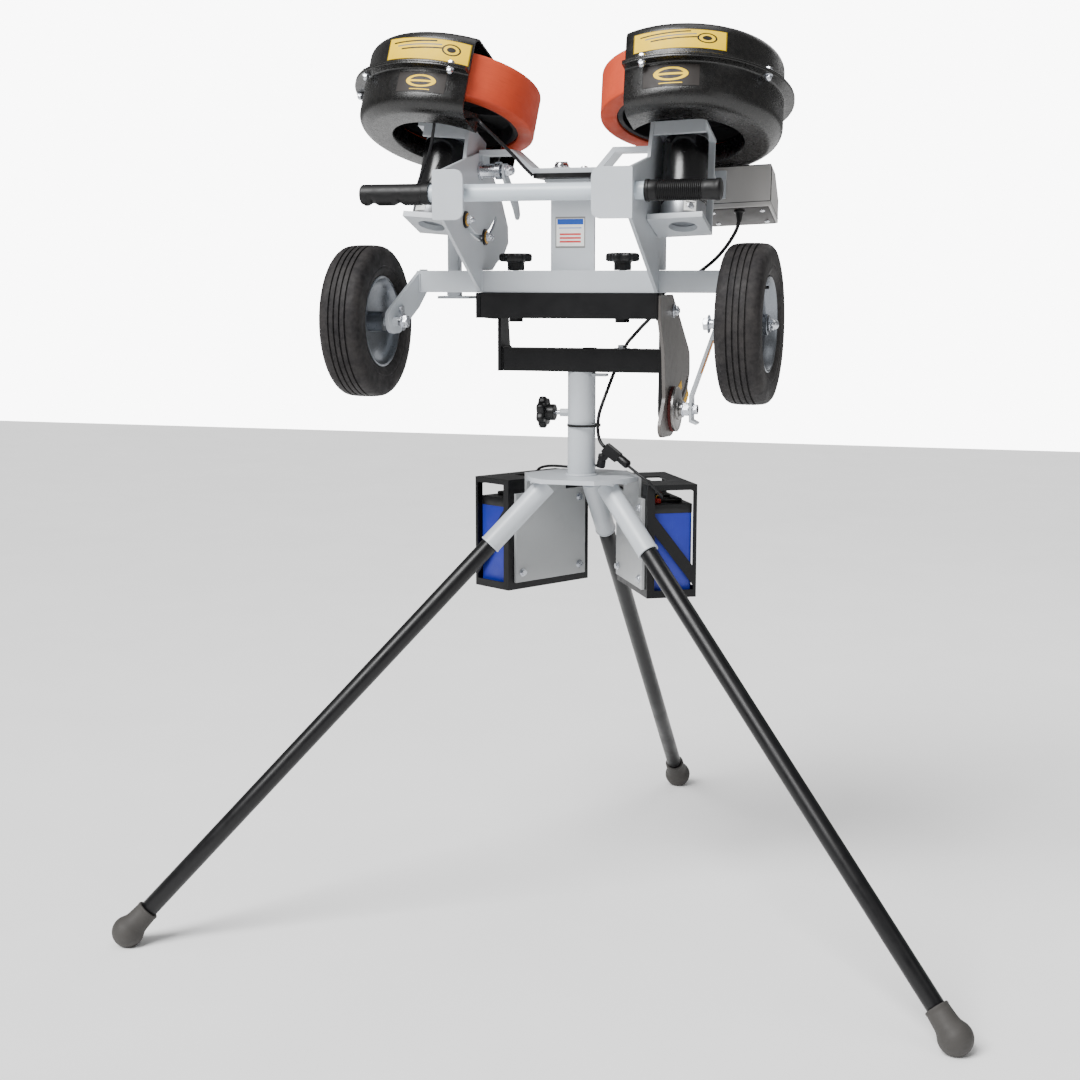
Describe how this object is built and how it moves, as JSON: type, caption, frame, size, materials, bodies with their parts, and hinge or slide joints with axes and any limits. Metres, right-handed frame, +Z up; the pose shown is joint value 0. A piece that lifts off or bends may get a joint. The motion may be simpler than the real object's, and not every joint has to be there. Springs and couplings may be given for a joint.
{
  "type": "two-wheel ball throwing machine",
  "caption": "Ball throwing machine with powered wheels in guards, transport wheels and a tilting head on a battery tripod.",
  "frame": {"origin": "on the floor at the middle of the tripod's footprint, seen from above", "axes": "+X runs along the transport axle, to the right as seen from the side the ball leaves; +Y points back towards the operator; +Z up"},
  "size_m": [1.5002, 1.3077, 1.593],
  "materials": {
    "grey_paint": "satin grey paint on welded steel",
    "black_paint": "black powder coat on folded steel",
    "gloss_black_tube": "gloss black tube",
    "rubber": "matt moulded rubber",
    "tyre": "ribbed tyre rubber",
    "wheel_steel": "pressed zinc-grey rim",
    "fastener_steel": "bright zinc plate",
    "urethane": "moulded orange-red urethane, worn matt",
    "black_plastic": "textured moulded plastic",
    "motor_paint": "gloss black motor can",
    "battery_plastic": "blue battery case with a black lid",
    "friction": "dark red friction lining",
    "cable": "black cable jacket"
  },
  "bodies": {
    "stand": {"stand_hub": "grey_paint", "leg_left": "gloss_black_tube", "leg_right": "gloss_black_tube", "leg_back": "gloss_black_tube", "foot_left": "rubber", "foot_right": "rubber", "foot_back": "rubber", "battery_panel_left": "grey_paint", "battery_panel_right": "grey_paint", "battery_case_left": "black_paint", "battery_case_right": "black_paint", "battery_left": "battery_plastic", "battery_right": "battery_plastic", "y_connector": "black_plastic", "power_lead_lower": "cable", "battery_lead_left": "cable", "battery_lead_right": "cable"},
    "yoke": {"yoke": "black_paint", "pivot_bolt_left": "fastener_steel", "pivot_bolt_right": "fastener_steel", "friction_disc": "friction", "pressure_plate": "fastener_steel"},
    "head": {"upper_bar": "black_paint", "quadrant_plate": "black_paint", "axle_tube": "grey_paint", "side_plate_left": "grey_paint", "side_plate_right": "grey_paint", "handle_tube": "grey_paint", "grip_left": "rubber", "grip_right": "rubber", "cross_bracket": "grey_paint", "centre_support": "grey_paint", "ball_tray": "black_plastic", "motor_bracket_right": "grey_paint", "motor_right": "motor_paint", "guard_lower_right": "black_plastic", "guard_upper_right": "black_plastic", "control_box": "grey_paint", "cant_shaft": "fastener_steel", "power_lead_upper": "cable"},
    "left_unit": {"motor_bracket_left": "grey_paint", "motor_left": "motor_paint", "guard_lower_left": "black_plastic", "guard_upper_left": "black_plastic"},
    "throw_wheel_left": {"throw_tyre_left": "urethane", "throw_hub_left": "black_plastic"},
    "throw_wheel_right": {"throw_tyre_right": "urethane", "throw_hub_right": "black_plastic"},
    "transport_wheel_left": {"tyre_left": "tyre", "rim_left": "wheel_steel"},
    "transport_wheel_right": {"tyre_right": "tyre", "rim_right": "wheel_steel"},
    "post_knob": {"post_knob": "black_plastic"},
    "axle_knob_left": {"axle_knob_left": "black_plastic"},
    "axle_knob_right": {"axle_knob_right": "black_plastic"},
    "tilt_lever": {"tilt_lever": "grey_paint"},
    "cant_lever": {"cant_lever": "grey_paint"},
    "speed_dial_left": {"speed_dial_left": "black_plastic"},
    "speed_dial_right": {"speed_dial_right": "black_plastic"},
    "power_switch": {"power_switch": "black_plastic"}
  },
  "joints": [
    {"name": "head_pan", "type": "hinge", "parent": "stand", "child": "yoke", "pos_m": [0, -0.2085, 1.016], "axis": [0, 0, 1], "range_deg": [-60, 60], "deforming": ["power_lead_lower"]},
    {"name": "head_tilt", "type": "hinge", "parent": "yoke", "child": "head", "pos_m": [0, -0.2185, 1.126], "axis": [-1, 0, 0], "range_deg": [-8, 35], "deforming": ["power_lead_upper"]},
    {"name": "unit_cant", "type": "hinge", "parent": "head", "child": "left_unit", "pos_m": [-0.157, -0.3185, 1.367], "axis": [1, 0, 0], "range_deg": [-15, 15]},
    {"name": "throw_spin_left", "type": "hinge", "parent": "left_unit", "child": "throw_wheel_left", "pos_m": [-0.209, -0.2905, 1.486], "axis": [0.0872, 0.3161, 0.9447], "continuous": true},
    {"name": "throw_spin_right", "type": "hinge", "parent": "head", "child": "throw_wheel_right", "pos_m": [0.209, -0.2955, 1.481], "axis": [-0.0436, 0.317, 0.9474], "continuous": true},
    {"name": "transport_roll_left", "type": "hinge", "parent": "head", "child": "transport_wheel_left", "pos_m": [-0.34, -0.3935, 1.108], "axis": [1, 0, 0], "continuous": true},
    {"name": "transport_roll_right", "type": "hinge", "parent": "head", "child": "transport_wheel_right", "pos_m": [0.34, -0.3935, 1.108], "axis": [1, 0, 0], "continuous": true},
    {"name": "post_knob_turn", "type": "hinge", "parent": "stand", "child": "post_knob", "pos_m": [-0.05, -0.2085, 0.941], "axis": [-1, 0, 0], "continuous": true},
    {"name": "axle_knob_turn_left", "type": "hinge", "parent": "head", "child": "axle_knob_left", "pos_m": [-0.097, -0.2935, 1.19615], "axis": [0, 0, 1], "continuous": true},
    {"name": "axle_knob_turn_right", "type": "hinge", "parent": "head", "child": "axle_knob_right", "pos_m": [0.097, -0.2935, 1.19615], "axis": [0, 0, 1], "continuous": true},
    {"name": "tilt_lever_turn", "type": "hinge", "parent": "yoke", "child": "tilt_lever", "pos_m": [0.206, -0.2225, 0.953], "axis": [1, 0, 0], "range_deg": [-60, 30]},
    {"name": "cant_lever_turn", "type": "hinge", "parent": "head", "child": "cant_lever", "pos_m": [-0.11, -0.3185, 1.367], "axis": [1, 0, 0], "range_deg": [-40, 30]},
    {"name": "speed_dial_turn_left", "type": "hinge", "parent": "head", "child": "speed_dial_left", "pos_m": [0.25218, -0.16282, 1.33646], "axis": [0.0342, -0.8368, -0.5464], "range_deg": [0, 270]},
    {"name": "speed_dial_turn_right", "type": "hinge", "parent": "head", "child": "speed_dial_right", "pos_m": [0.29614, -0.16221, 1.33828], "axis": [0.0342, -0.8368, -0.5464], "range_deg": [0, 270]},
    {"name": "power_switch_rock", "type": "hinge", "parent": "head", "child": "power_switch", "pos_m": [0.32611, -0.1618, 1.33952], "axis": [-0.999, -0.0138, -0.0414], "range_deg": [-9, 9]}
  ]
}
